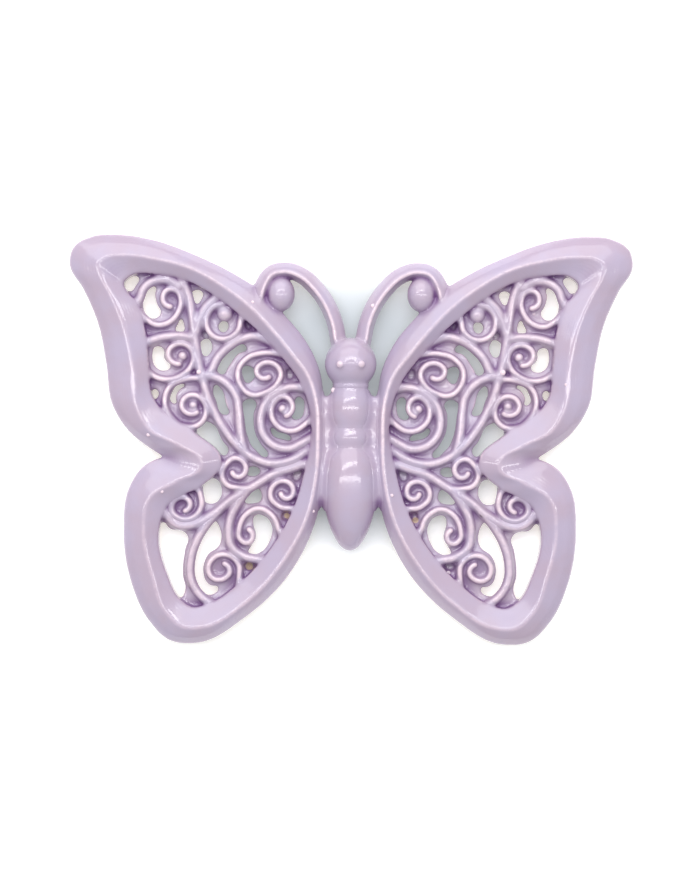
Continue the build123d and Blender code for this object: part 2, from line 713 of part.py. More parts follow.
def main():
    os.makedirs("parts", exist_ok=True)
    rim = wing_rim()
    forewing = forewing_side()
    panel = window_block(panel_bottom, panel_top)
    right = {
        "wing_rim": rim,
        "forewing_panel": pierced(panel & forewing, fore_hole_shares, fore_pit_shares),
        "hindwing_panel": pierced(panel - forewing, hind_hole_shares, hind_pit_shares),
    }
    right.update(right_scrolls())

    # The body, each lump cut back to the ones before it
    tip = station(abdomen_tip_share)
    abdomen_top = station(abdomen_top_share)
    waist_top = station(waist_top_share)
    thorax_top = station(thorax_top_share)
    left_rim = rim.mirror(Plane.YZ)
    middle = {"head": whole(head())}
    middle["collar"] = whole(collar())
    thorax = lump(thorax_profile_shares, waist_top, thorax_top, thorax_radius)
    middle["thorax"] = fitted(thorax, [middle["head"], rim, left_rim])
    waist = lump(waist_profile_shares, abdomen_top, waist_top, waist_radius)
    middle["waist_band"] = fitted(waist, [rim, left_rim])
    abdomen = lump(abdomen_profile_shares, tip, abdomen_top, abdomen_radius)
    middle["abdomen"] = fitted(abdomen, [rim, left_rim])

    right["eye"] = eye()
    right["antenna"] = fitted(antenna(), [middle["head"], rim])
    right["antenna_knob"] = fitted(knob(), [rim, right["antenna"]])
    right["saddle"] = fitted(saddle(), [rim] + list(middle.values()))

    # The pads under the rims are one set of four
    pads = []
    for shares in pad_shares:
        disc = Cylinder(pad_radius, pad_height, align=(Align.CENTER, Align.CENTER, Align.MIN))
        pad = disc.moved(Location(at(shares)))
        pads += [pad, pad.mirror(Plane.YZ)]
    middle["pads"] = Compound(children=[piece.solid() for piece in pads])

    # The origin lies under the middle of the whole outline
    outline = curve_loop([at(row[0]) for row in wing_rim_shares], notch_station)
    heights = [(edge @ (step / 20)).Y for edge in outline for step in range(21)]
    to_origin = Location((0, -(min(heights) + max(heights)) / 2, 0))
    nodes = dict(middle)
    for name, piece in right.items():
        nodes[name + "_right"] = piece
        nodes[name + "_left"] = piece.mirror(Plane.YZ)
    for name, piece in nodes.items():
        export_step(piece.moved(to_origin), f"parts/{name}.step")
    print(len(nodes), "nodes")


main()
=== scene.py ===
from math import radians

import bpy
import numpy as np
import openvdb
from bpy.props import FloatProperty, FloatVectorProperty, PointerProperty
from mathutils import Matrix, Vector
from mathutils.bvhtree import BVHTree


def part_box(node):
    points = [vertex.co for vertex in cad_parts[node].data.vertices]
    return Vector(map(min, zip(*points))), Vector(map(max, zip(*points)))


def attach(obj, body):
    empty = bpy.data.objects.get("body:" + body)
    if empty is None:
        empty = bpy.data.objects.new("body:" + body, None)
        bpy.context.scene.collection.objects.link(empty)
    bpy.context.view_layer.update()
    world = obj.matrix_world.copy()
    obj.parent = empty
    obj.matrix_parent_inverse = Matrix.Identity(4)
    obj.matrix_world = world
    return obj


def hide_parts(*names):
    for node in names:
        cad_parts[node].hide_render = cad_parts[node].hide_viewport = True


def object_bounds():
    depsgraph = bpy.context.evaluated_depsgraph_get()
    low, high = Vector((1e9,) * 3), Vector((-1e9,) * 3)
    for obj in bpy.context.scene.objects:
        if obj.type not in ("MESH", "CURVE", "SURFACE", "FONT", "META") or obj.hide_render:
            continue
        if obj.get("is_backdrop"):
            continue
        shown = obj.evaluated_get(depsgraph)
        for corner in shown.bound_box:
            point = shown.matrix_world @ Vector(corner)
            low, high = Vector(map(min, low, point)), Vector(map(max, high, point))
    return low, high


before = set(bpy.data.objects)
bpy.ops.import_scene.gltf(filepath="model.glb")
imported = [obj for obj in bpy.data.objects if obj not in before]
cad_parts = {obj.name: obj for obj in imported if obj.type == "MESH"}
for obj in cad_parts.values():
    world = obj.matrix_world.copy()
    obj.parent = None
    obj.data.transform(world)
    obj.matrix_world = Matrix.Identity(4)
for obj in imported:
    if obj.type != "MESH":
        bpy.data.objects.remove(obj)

bl_info = {
    "name": "Glazed openwork butterfly",
    "version": (1, 0, 0),
    "blender": (4, 5, 0),
    "location": "3D View > Sidebar > Butterfly",
    "description": "Dresses the clay pieces of an openwork butterfly in a lilac glaze",
    "category": "Object",
}

MM = 0.001
SIDES = ("right", "left")
BODY = "root"

# The clay pieces, group by group. A wing's pieces come once on each side.
RIMS = ("wing_rim",)
PANELS = ("forewing_panel", "hindwing_panel", "saddle")
FOREWING_SCROLLS = (
    "main_vine", "leaf_inner", "upper_arc", "lower_arc", "tip_arc", "tip_spiral",
    "hook_ring", "big_spiral", "small_spiral", "middle_spiral", "lower_spiral",
)
HINDWING_SCROLLS = (
    "long_branch", "inner_branch", "outer_branch", "root_curl", "end_curl", "ring",
    "foot_curl",
)
FEELERS = ("antenna", "antenna_knob")
LUMPS = ("head", "collar", "thorax", "waist_band", "abdomen")
SMOOTH_LUMPS = ("thorax", "waist_band", "abdomen")
VALLEY_CLAY = ("saddle_right", "saddle_left")
EYES = ("eye",)

# Where the glaze missed the clay and where it left a bead: places in mm from the
# mirror line and the ornament's middle, and the size of each mark
BARE_SPOTS = (
    (-39.1, -49.5, 1.3), (-24.6, -29.7, 1.1), (25.6, -31.2, 1.1),
)
BEADS = (
    (59.0, 26.4, 1.01), (8.5, 51.9, 0.81), (-6.5, 19.2, 0.94), (-78.0, 1.6, 0.75),
    (-58.9, 26.0, 0.81), (-38.0, 53.0, 0.61), (71.2, 49.3, 0.68), (-72.6, -20.4, 0.61),
    (38.4, -51.6, 0.74), (-14.2, -27.7, 0.6), (16.2, -21.4, 0.61), (83.1, 21.7, 0.54),
)

# The shallow valleys beside the body, in which the glaze is no thicker: how far they
# reach from the mirror line, where they end towards the tail, and how softly
VALLEY_EDGE, VALLEY_EDGE_SOFT = 15 * MM, 3 * MM
VALLEY_END, VALLEY_END_SOFT = -24 * MM, 4 * MM
VALLEY_THINNING = 0.2
# How much less the steep sides darken in the valleys, a darkening that is partly painted
# shade
VALLEY_EASING = 0.8

# The range of each measure over which the glaze changes
POOLED = (0.49, 0.73)
RUN_OFF = (0.34, 0.45)
THINNED = (0.40, 0.478)
SHARP_EDGE = (0.34, 0.48)
STEEP = (0.1, 0.9)
BARE = (0.35, 0.6)
ABOVE_PANELS = (7.3 * MM, 8.6 * MM)

# A piece with more faces than this is thinned
MOST_QUADS = 90000

# How much the beads' sizes vary
BEAD_UNEVENNESS = 0.15
BEAD_SEED = 4

# The floor, and the grey patch on it that stands for the shade by the body
FLOOR_HALF = 3.0
FLOOR_GAP = 0.1 * MM
PATCH_AHEAD = 12 * MM
PATCH_RADII = (66 * MM, 56 * MM)
PATCH_FADE = (0.35, 1.35)

# The lamps: place, size and colour
LAMPS = (
    ("window", (-0.1, 0.9, 0.8), (1.7, 1.1), (0.97, 0.98, 1.0)),
    ("glint", (-0.05, 0.36, 0.85), (1.3, 0.1), (1.0, 1.0, 1.0)),
    ("strip", (0, 0.05, 0.82), (1.7, 0.05), (1.0, 1.0, 1.0)),
)
SKY_COLOUR = (0.97, 0.99, 1.0, 1)

# The photograph's frame and where the ornament lies in it
PHOTO_WIDTH, PHOTO_HEIGHT = 700, 875
SPAN_PIXELS = 565.0
MIRROR_COLUMN = 350.3
WAIST_ROW = 442.6
WAIST_FROM_CENTRE = -1.1 * MM
PHOTO_TILT = radians(0.3)


def both(names):
    """The names of a wing's pieces on both sides."""
    return [f"{name}_{side}" for name in names for side in SIDES]


# The sizes and colours that the panel shows


class GlazeSizes(bpy.types.PropertyGroup):
    """How the glaze lies on the clay."""

    cell: FloatProperty(
        name="Cell", description="Size of the cells that the clay is poured into",
        default=0.45 * MM, min=0.3 * MM, precision=5, unit="LENGTH", subtype="DISTANCE",
    )
    softness: FloatProperty(
        name="Softness", description="How far the glaze rounds edges and fills corners",
        default=0.5 * MM, min=0.0, precision=5, unit="LENGTH", subtype="DISTANCE",
    )
    body_softness: FloatProperty(
        name="Body softness", description="How far the glaze evens out the body's lumps",
        default=1.2 * MM, min=0.0, precision=5, unit="LENGTH", subtype="DISTANCE",
    )
    pool_reach: FloatProperty(
        name="Pool reach",
        description="How near a wall must stand for glaze to pool beside it",
        default=2.2 * MM, min=0.0, precision=5, unit="LENGTH", subtype="DISTANCE",
    )
    crest_reach: FloatProperty(
        name="Crest reach", description="How sharp a ridge must be for glaze to run off it",
        default=0.9 * MM, min=0.0, precision=5, unit="LENGTH", subtype="DISTANCE",
    )
    gather: FloatProperty(
        name="Gather", description="How readily glaze gathers where pieces meet",
        default=1.1, min=0.0,
    )
    valley_fill: FloatProperty(
        name="Valley fill", description="How full the valleys beside the body are",
        default=3.2, min=0.0,
    )
    valley_blend: FloatProperty(
        name="Valley blend", description="How softly the valleys' clay meets the walls",
        default=3.0 * MM, min=0.0, precision=5, unit="LENGTH", subtype="DISTANCE",
    )
    valley_reach: FloatProperty(
        name="Valley reach", description="How far from the body's middle the valleys end",
        default=15.0 * MM, min=0.0, precision=5, unit="LENGTH", subtype="DISTANCE",
    )
    bead_flatness: FloatProperty(
        name="Bead flatness", description="How high a bead stands for its width",
        default=0.45, min=0.1,
    )
    bare_height: FloatProperty(
        name="Bare height", description="How far up from the foot the clay is bare",
        default=3.2 * MM, min=0.0, precision=5, unit="LENGTH", subtype="DISTANCE",
    )


class GlazeColours(bpy.types.PropertyGroup):
    """The colours of the glaze, the clay, the pads and the floor."""

    crest: FloatVectorProperty(
        name="Crest", description="Thin glaze on the ridges, where the clay shows through",
        default=(0.80, 0.63, 0.70), subtype="COLOR", min=0.0, max=1.0,
    )
    coat: FloatVectorProperty(
        name="Coat", description="The glaze at its usual thickness",
        default=(0.46, 0.36, 0.46), subtype="COLOR", min=0.0, max=1.0,
    )
    # Darker purple on steep sides: partly glaze that runs together there, partly painted
    # shade
    flank_run_and_shade: FloatVectorProperty(
        name="Flank", description="The glaze on steep sides, where it runs together",
        default=(0.32, 0.19, 0.34), subtype="COLOR", min=0.0, max=1.0,
    )
    pool: FloatVectorProperty(
        name="Pool", description="Thick glaze in the recesses",
        default=(0.18, 0.085, 0.23), subtype="COLOR", min=0.0, max=1.0,
    )
    clay: FloatVectorProperty(
        name="Clay", description="Bare clay where no glaze reached",
        default=(0.60, 0.44, 0.33), subtype="COLOR", min=0.0, max=1.0,
    )
    rubber: FloatVectorProperty(
        name="Pads", description="The stick-on pads under the rims",
        default=(0.62, 0.62, 0.58), subtype="COLOR", min=0.0, max=1.0,
    )
    floor: FloatVectorProperty(
        name="Floor", description="The pale surface that the ornament lies on",
        default=(0.93, 0.94, 0.94), subtype="COLOR", min=0.0, max=1.0,
    )
    # Painted shade: the floor colour in the patch by the body
    shade: FloatVectorProperty(
        name="Shade", description="The floor where the ornament shades it, by its body",
        default=(0.42, 0.455, 0.48), subtype="COLOR", min=0.0, max=1.0,
    )


class StudioSizes(bpy.types.PropertyGroup):
    """The camera's height and the strength of the lamps."""

    camera_height: FloatProperty(
        name="Camera height", description="How far the camera stands above the ornament",
        default=0.75, min=0.2, unit="LENGTH", subtype="DISTANCE",
    )
    window_power: FloatProperty(
        name="Window", description="Power of the large soft lamp beyond the head",
        default=9.2, min=0.0, unit="POWER",
    )
    strip_power: FloatProperty(
        name="Strip", description="Power of the long lamp overhead",
        default=2.2, min=0.0, unit="POWER",
    )
    glint_power: FloatProperty(
        name="Glint", description="Power of the small lamp that makes the glints",
        default=3.0, min=0.0, unit="POWER",
    )
    sky: FloatProperty(
        name="Sky", description="Strength of the even light from all round",
        default=0.6, min=0.0,
    )


# The clay poured into cells, and the skins taken from them


def shifted_sum(values, weights, axis):
    """Values averaged along an axis with symmetric weights."""
    reach = len(weights) // 2
    pad = [(0, 0)] * values.ndim
    pad[axis] = (reach, reach)
    wide = np.pad(values, pad)
    size = values.shape[axis]
    total = np.zeros_like(values)
    for i, weight in enumerate(weights):
        part = [slice(None)] * values.ndim
        part[axis] = slice(i, i + size)
        total += weight * wide[tuple(part)]
    return total


def softened(values, spread):
    """Values blurred by a bell curve whose spread is given in cells."""
    reach = max(1, int(np.ceil(3 * spread)))
    steps = np.arange(-reach, reach + 1)
    weights = np.exp(-steps ** 2 / (2 * spread ** 2))
    weights = (weights / weights.sum()).astype(np.float32)
    for axis in range(3):
        values = shifted_sum(values, weights, axis)
    return values


class ClayBlock:
    """All the clay pieces poured into one block of small cells."""

    # Empty cells round the clay, and where in a cell its four rays fall
    MARGIN = 7
    OFFSETS = (-0.25, 0.25)
    # The share of clay at which the surface lies
    SURFACE = 0.5
    # How much each piece reaches into its neighbours, so that no seam shows, how much
    # the clay in the valleys does, and how thin that clay is where it ends
    OVERLAP = 0.3
    FILL_OVERLAP = 0.9
    THINNEST_FILL = 0.15
    # How soon that clay reaches its depth, and over how far it ends sideways
    FILL_RISE = 4
    FILL_FADE = 2 * MM

    def __init__(self, names, sizes):
        self.cell = sizes.cell
        corners = np.array([[tuple(c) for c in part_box(name)] for name in names])
        self.low = corners[:, 0].min(axis=0) - self.MARGIN * self.cell
        high = corners[:, 1].max(axis=0) + self.MARGIN * self.cell
        self.shape = tuple(int(n) for n in np.ceil((high - self.low) / self.cell) + 1)
        self.clay = np.zeros(self.shape, np.float32)
        self.parts = {}
        for name in names:
            self.pour(name)
        np.minimum(self.clay, 1, out=self.clay)
        self.softer = softened(self.clay, sizes.softness / self.cell)
        close = softened(self.clay, sizes.crest_reach / self.cell)
        gathered = np.maximum(close - self.SURFACE, 0) * sizes.gather
        self.glazed = self.softer + gathered
        self.even_out_body(sizes.body_softness / self.cell)
        self.valleys = self.glazed + self.valley(sizes)
        # The clay together with what fills the valleys
        full = np.maximum(self.clay, np.clip(self.valleys * 2 - 0.5, 0, 1))
        self.crests = softened(full, sizes.crest_reach / self.cell)
        self.pools = softened(full, sizes.pool_reach / self.cell)

    def even_out_body(self, spread):
        """Smooths the glaze on the body's lumps, so that its glints run unbroken."""
        body = np.zeros(self.shape, np.float32)
        for name in SMOOTH_LUMPS:
            where, filled = self.parts[name]
            body[where] += filled
        share = np.clip(2 * softened(body, spread), 0, 1)
        self.glazed += share * (softened(self.clay, spread) - self.glazed)

    def valley(self, sizes):
        """What fills the valleys between the body and the rims."""
        close = softened(self.clay, sizes.valley_blend / self.cell)
        across = np.abs(self.low[0] + np.arange(self.shape[0]) * self.cell)
        fade = np.clip((sizes.valley_reach - across) / self.FILL_FADE, 0, 1)
        fade = fade.astype(np.float32)[:, None, None]
        return np.maximum(close - self.SURFACE, 0) * fade * sizes.valley_fill

    def pour(self, name):
        """Fills the cells that a piece takes up, by how much of each it takes."""
        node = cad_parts[name]
        points = [vertex.co[:] for vertex in node.data.vertices]
        faces = [face.vertices[:] for face in node.data.polygons]
        tree = BVHTree.FromPolygons(points, faces)
        low, high = (np.array(tuple(corner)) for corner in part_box(name))
        around = self.MARGIN if name in VALLEY_CLAY else self.MARGIN // 2
        first = np.floor((low - self.low) / self.cell).astype(int) - around
        last = np.ceil((high - self.low) / self.cell).astype(int) + around
        first = np.maximum(first, 0)
        last = np.minimum(last, np.array(self.shape) - 1)
        count = last - first + 1
        edges = self.low[2] + (np.arange(first[2], last[2] + 2) - 0.5) * self.cell
        lower, upper = edges[:-1], edges[1:]
        filled = np.zeros(count, np.float32)
        for aside in self.OFFSETS:
            for along in self.OFFSETS:
                start = self.low[:2] + (first[:2] + (aside, along)) * self.cell
                top, bottom = self.heights(tree, start, count, low, high)
                part = np.minimum(top[..., None], upper)
                part -= np.maximum(bottom[..., None], lower)
                filled += np.clip(part / self.cell, 0, 1) * (top > 0)[..., None]
        filled /= len(self.OFFSETS) ** 2
        where = tuple(slice(a, b + 1) for a, b in zip(first, last))
        self.clay[where] += filled
        self.parts[name] = (where, filled)

    def heights(self, tree, start, count, low, high):
        """The top and bottom of a piece above each of a grid of places; 0 beside it."""
        top, bottom = np.zeros(count[:2]), np.zeros(count[:2])
        down, up = Vector((0, 0, -1)), Vector((0, 0, 1))
        above, below = high[2] + self.cell, low[2] - self.cell
        cast = tree.ray_cast
        for i in range(count[0]):
            x = start[0] + i * self.cell
            if not low[0] <= x <= high[0]:
                continue
            for j in range(count[1]):
                y = start[1] + j * self.cell
                hit = cast((x, y, above), down)[0]
                if hit is not None:
                    top[i, j] = hit[2]
                    under = cast((x, y, below), up)[0]
                    bottom[i, j] = hit[2] if under is None else under[2]
        return top, bottom

    def top(self, x, y):
        """How high the glaze stands at a place."""
        i, j = (int(round((v - o) / self.cell)) for v, o in zip((x, y), self.low))
        column = self.glazed[i, j]
        k = np.flatnonzero(column > self.SURFACE).max()
        share = (column[k] - self.SURFACE) / (column[k] - column[k + 1])
        return self.low[2] + (k + share) * self.cell

    def sampled(self, values, points):
        """Values between the cells, at each point."""
        place = (points - self.low) / self.cell
        base = np.clip(np.floor(place).astype(int), 0, np.array(self.shape) - 2)
        share = place - base
        total = np.zeros(len(points))
        for corner in np.ndindex(2, 2, 2):
            weight = np.prod(np.where(corner, share, 1 - share), axis=1)
            x, y, z = (base + corner).T
            total += weight * values[x, y, z]
        return total

    def skin(self, name, spread):
        """A piece's closed surface: the glaze outside, and its seams to the others."""
        where, filled = self.parts[name]
        own = softened(filled, spread)
        glazed = self.glazed[where]
        others = self.softer[where] - own
        inside = own - others + self.OVERLAP
        if name in VALLEY_CLAY:
            added = self.FILL_RISE * (self.valleys[where] - glazed) - self.THINNEST_FILL
            inside = np.maximum(inside, np.minimum(added, self.FILL_OVERLAP - others))
            glazed = self.valleys[where]
        depth = np.minimum(glazed - self.SURFACE, inside)
        grid = openvdb.FloatGrid(1.0)
        grid.copyFromArray(np.ascontiguousarray(-depth, dtype=np.float32))
        points, quads = grid.convertToQuads(isovalue=0.0)
        start = self.low + np.array([part.start for part in where]) * self.cell
        points = points * self.cell + start
        return points, quads


def largest_shell(points, quads):
    """The largest connected sheet of quads, without crumbs beside it."""
    label = np.arange(len(points))
    while True:
        low = label[quads].min(axis=1)
        after = label.copy()
        for k in range(4):
            np.minimum.at(after, quads[:, k], low)
        after = after[after]
        if np.array_equal(after, label):
            break
        label = after
    kept = np.bincount(label[quads[:, 0]]).argmax()
    quads = quads[label[quads[:, 0]] == kept]
    used = np.unique(quads)
    renumbered = np.zeros(len(points), int)
    renumbered[used] = np.arange(len(used))
    return points[used], renumbered[quads]


def object_of(name, points, faces):
    """A smooth mesh object at the origin, with its place in its mesh."""
    mesh = bpy.data.meshes.new(name)
    mesh.from_pydata(points, [], faces)
    mesh.polygons.foreach_set("use_smooth", [True] * len(mesh.polygons))
    mesh.update()
    made = bpy.data.objects.new(name, mesh)
    bpy.context.scene.collection.objects.link(made)
    return made


def measured(made, name, values):
    """Writes one number for each point of a mesh, for its material to read."""
    attribute = made.data.attributes.new(name, "FLOAT", "POINT")
    attribute.data.foreach_set("value", np.asarray(values, np.float32))


class Studio:
    """What the operators share: the block of clay and the materials."""

    block = None

    @classmethod
    def clay_block(cls, context):
        """The block, poured when it is first asked for."""
        if cls.block is None:
            wings = RIMS + PANELS + FOREWING_SCROLLS + HINDWING_SCROLLS
            names = both(wings + FEELERS + EYES) + list(LUMPS)
            cls.block = ClayBlock(names, context.scene.glaze_sizes)
        return cls.block


def steepness(points, quads):
    """How far each point's surface leans from level: 0 on top, 1 on a wall."""
    corners = points[quads]
    normals = np.cross(corners[:, 2] - corners[:, 0], corners[:, 3] - corners[:, 1])
    total = np.zeros_like(points)
    for k in range(4):
        np.add.at(total, quads[:, k], normals)
    return 1 - np.abs(total[:, 2]) / (np.linalg.norm(total, axis=1) + 1e-12)


def valley_share(points):
    """1 in the shallow valleys beside the body, where the glaze is no thicker."""
    beside = np.clip((VALLEY_EDGE - np.abs(points[:, 0])) / VALLEY_EDGE_SOFT, 0, 1)
    return beside * np.clip((points[:, 1] - VALLEY_END) / VALLEY_END_SOFT, 0, 1)


def bare_share(points, height):
    """How bare the clay is: 1 at the foot and where the glaze missed it."""
    bare = np.clip((height - points[:, 2]) / MM + 0.5, 0, 1)
    for x, y, size in BARE_SPOTS:
        away = np.hypot(points[:, 0] - x * MM, points[:, 1] - y * MM) / (size * MM)
        bare = np.maximum(bare, np.clip(1.5 - away, 0, 1))
    return bare


def glazed_piece(context, name):
    """One clay piece under its glaze, in place of the plain solid."""
    sizes = context.scene.glaze_sizes
    block = Studio.clay_block(context)
    points, quads = block.skin(name, sizes.softness / sizes.cell)
    points, quads = largest_shell(points, quads)
    made = object_of("glazed_" + name, points.tolist(), quads.tolist())
    valley = valley_share(points)
    pool = block.sampled(block.pools, points)
    measured(made, "pool", pool - VALLEY_THINNING * valley)
    measured(made, "crest", block.sampled(block.crests, points))
    measured(made, "bare", bare_share(points, sizes.bare_height))
    # How steep each point is, for the glaze run and painted shade on steep sides; eased in
    # the valleys
    measured(made, "steep", steepness(points, quads) * (1 - VALLEY_EASING * valley))
    if len(quads) > MOST_QUADS:
        thinned = made.modifiers.new("thinned", "DECIMATE")
        thinned.ratio = MOST_QUADS / len(quads)
        graph = context.evaluated_depsgraph_get()
        mesh = bpy.data.meshes.new_from_object(made.evaluated_get(graph))
        made.modifiers.clear()
        made.data = mesh
    made.data.materials.append(glaze_material(context))
    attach(made, BODY)
    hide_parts(name)
    return made


# The materials


class Link:
    """A shader socket that takes part in sums."""

    def __init__(self, recipe, socket):
        self.recipe = recipe
        self.socket = socket

    def __add__(self, other):
        return self.recipe.sum("ADD", self, other)

    def __radd__(self, other):
        return self.recipe.sum("ADD", other, self)

    def __sub__(self, other):
        return self.recipe.sum("SUBTRACT", self, other)

    def __rsub__(self, other):
        return self.recipe.sum("SUBTRACT", other, self)

    def __mul__(self, other):
        return self.recipe.sum("MULTIPLY", self, other)

    def __rmul__(self, other):
        return self.recipe.sum("MULTIPLY", other, self)


class Node:
    """A node whose outputs are asked for by name."""

    def __init__(self, recipe, node):
        self.recipe = recipe
        self.node = node

    def out(self, name):
        """An output, ready for sums."""
        return Link(self.recipe, self.node.outputs[name])


class NodeTree:
    """A tree of nodes whose sockets are set or linked by name."""

    def feed(self, socket, value):
        """Sets a socket, or links it where the value comes from a node."""
        if isinstance(value, Link):
            self.tree.links.new(value.socket, socket)
        else:
            socket.default_value = value

    def node(self, kind, settings=None, **sockets):
        """A new node of a kind, with its settings and its sockets' values or links."""
        node = self.tree.nodes.new(kind)
        for key, value in (settings or {}).items():
            setattr(node, key, value)
        for key, value in sockets.items():
            self.feed(node.inputs[key.replace("_", " ")], value)
        return Node(self, node)

    def sum(self, operation, first, second):
        """A Math node on two values or links."""
        node = self.tree.nodes.new("ShaderNodeMath")
        node.operation = operation
        self.feed(node.inputs[0], first)
        self.feed(node.inputs[1], second)
        return Link(self, node.outputs[0])


class Layout(NodeTree):
    """A Geometry Nodes tree that puts copies of one shape on a mesh's points."""

    def __init__(self, name, inputs):
        self.tree = bpy.data.node_groups.new(name, "GeometryNodeTree")
        sockets = self.tree.interface
        sockets.new_socket("Geometry", in_out="INPUT", socket_type="NodeSocketGeometry")
        self.keys = {}
        for label, kind, value in inputs:
            socket = sockets.new_socket(label, in_out="INPUT", socket_type=kind)
            socket.default_value = value
            self.keys[label] = socket.identifier
        sockets.new_socket("Geometry", in_out="OUTPUT", socket_type="NodeSocketGeometry")
        self.given = Node(self, self.tree.nodes.new("NodeGroupInput"))
        self.result = self.tree.nodes.new("NodeGroupOutput")

    def copies(self, shape, size, material):
        """The end of the tree: real copies of the shape, in their material."""
        placed = self.node(
            "GeometryNodeInstanceOnPoints", Points=self.given.out("Geometry"),
            Instance=shape, Scale=size,
        )
        real = self.node("GeometryNodeRealizeInstances", Geometry=placed.out("Instances"))
        smooth = self.node("GeometryNodeSetShadeSmooth", Geometry=real.out("Geometry"))
        done = self.node(
            "GeometryNodeSetMaterial", Geometry=smooth.out("Geometry"), Material=material,
        )
        self.tree.links.new(done.out("Geometry").socket, self.result.inputs["Geometry"])

    def made_on(self, context, name, places, sizes, values):
        """A plain mesh object of the copies, on places that carry a size each."""
        made = object_of(name, places, [])
        measured(made, "size", sizes)
        modifier = made.modifiers.new(name, "NODES")
        modifier.node_group = self.tree
        for label, value in values.items():
            modifier[self.keys[label]] = value
        graph = context.evaluated_depsgraph_get()
        mesh = bpy.data.meshes.new_from_object(made.evaluated_get(graph))
        made.modifiers.clear()
        made.data = mesh
        return made


class Recipe(NodeTree):
    """A material's nodes, from the measures of a surface to its finish."""

    def __init__(self, name):
        self.material = bpy.data.materials.new(name)
        self.material.use_nodes = True
        self.tree = self.material.node_tree
        self.tree.nodes.clear()
        self.finish = self.tree.nodes.new("ShaderNodeBsdfPrincipled")
        output = self.tree.nodes.new("ShaderNodeOutputMaterial")
        self.tree.links.new(self.finish.outputs["BSDF"], output.inputs["Surface"])

    def mixed(self, share, first, second):
        """A colour between two others."""
        node = self.tree.nodes.new("ShaderNodeMix")
        node.data_type = "RGBA"
        self.feed(node.inputs["Factor"], share)
        for socket, value in ((node.inputs[6], first), (node.inputs[7], second)):
            self.feed(socket, value if isinstance(value, Link) else (*value, 1))
        return Link(self, node.outputs[2])

    def step(self, value, start, end):
        """0 below the start, 1 above the end, and smooth between them."""
        node = self.node(
            "ShaderNodeMapRange", {"interpolation_type": "SMOOTHSTEP"},
            Value=value, From_Min=start, From_Max=end,
        )
        return node.out("Result")

    def measure(self, name):
        """A number that was written on the mesh."""
        return self.node("ShaderNodeAttribute", {"attribute_name": name}).out("Fac")

    def place(self):
        """Where a point of the surface lies, in the shared frame."""
        return self.node("ShaderNodeTexCoord").out("Object")

    def along(self, axis):
        """How far along an axis a place lies, in metres."""
        return self.node("ShaderNodeSeparateXYZ", Vector=self.place()).out(axis)

    def clouds(self, size, detail=2.0, roughness=0.5):
        """Soft noise whose patches are about this size, from 0 to 1."""
        node = self.node(
            "ShaderNodeTexNoise", Vector=self.place(), Scale=1 / size, Detail=detail,
            Roughness=roughness,
        )
        return node.out("Fac")

    def surface(self, **sockets):
        """Sets or links the sockets of the finish."""
        for key, value in sockets.items():
            self.feed(self.finish.inputs[key.replace("_", " ")], value)

    def bumped(self, height, distance, **normal):
        """The surface's normal with bumps this high, on top of another normal."""
        node = self.node(
            "ShaderNodeBump", Height=height, Distance=distance, Strength=1.0, **normal,
        )
        return node.out("Normal")


def kept(name, make):
    """A material that is made once and used many times."""
    return bpy.data.materials.get(name) or make(name)


def glaze_material(context):
    """Lilac glaze: thin and pink on the ridges, thick and purple in the recesses, and
    darker on steep sides, partly as painted shade.
    """
    colours = context.scene.glaze_colours

    def make(name):
        recipe = Recipe(name)
        patches = recipe.clouds(14 * MM, detail=3.0)
        specks = recipe.clouds(0.9 * MM, detail=2.0)
        grains = recipe.clouds(0.35 * MM, detail=2.0)
        pool = recipe.measure("pool") + (patches - 0.5) * 0.06
        crest = recipe.measure("crest") + (specks - 0.5) * 0.025
        edge = 1 - recipe.step(crest, *SHARP_EDGE)
        smears = edge * recipe.step(recipe.clouds(7 * MM, detail=3.0), 0.5, 0.6)
        bare = recipe.measure("bare") + (patches - 0.5) * 0.5 - smears * 0.8
        bare = recipe.step(bare, *BARE)
        thick = recipe.step(pool, *POOLED)
        thin = 1 - recipe.step(crest, *RUN_OFF)
        thin = thin * recipe.step(recipe.along("Z"), *ABOVE_PANELS)
        thinned = 1 - recipe.step(crest, *THINNED)
        milky = tuple(c * share for c, share in zip(colours.coat, (1.0, 1.07, 1.12)))
        coat = recipe.mixed(recipe.step(patches, 0.3, 0.7), colours.coat, milky)
        # Steep sides lean towards the flank colour: partly glaze running together, partly
        # painted shade
        flank_run_and_shade = recipe.step(recipe.measure("steep"), *STEEP)
        colour = recipe.mixed(flank_run_and_shade * 0.6, coat, colours.flank_run_and_shade)
        colour = recipe.mixed(thick, colour, colours.pool)
        worn = recipe.step(recipe.clouds(2.5 * MM, detail=2.0), 0.3, 0.6)
        colour = recipe.mixed(thinned * (0.2 + 0.3 * worn), colour, colours.crest)
        colour = recipe.mixed(thin * (0.6 + 0.4 * worn), colour, colours.crest)
        dark_clay = tuple(c * 0.6 for c in colours.clay)
        mottle = recipe.clouds(10 * MM, detail=6.0, roughness=0.65)
        mottle = recipe.step(mottle, 0.35, 0.65)
        sand = recipe.step(grains, 0.35, 0.65)
        fired = recipe.mixed(0.55 * mottle + 0.45 * sand, dark_clay, colours.clay)
        colour = recipe.mixed(bare, colour, fired)
        ripples = recipe.clouds(5 * MM, detail=1.0)
        peel = recipe.clouds(1.2 * MM, detail=2.0)
        normal = recipe.bumped(ripples, 0.05 * MM)
        normal = recipe.bumped(peel, 0.02 * MM, Normal=normal)
        normal = recipe.bumped(grains * bare, 0.08 * MM, Normal=normal)
        recipe.surface(
            Base_Color=colour,
            Roughness=0.14 + 0.1 * patches + 0.6 * bare,
            Coat_Weight=0.6 - 0.6 * bare,
            Coat_Roughness=0.05,
            Normal=normal,
        )
        return recipe.material

    return kept("lilac_glaze", make)


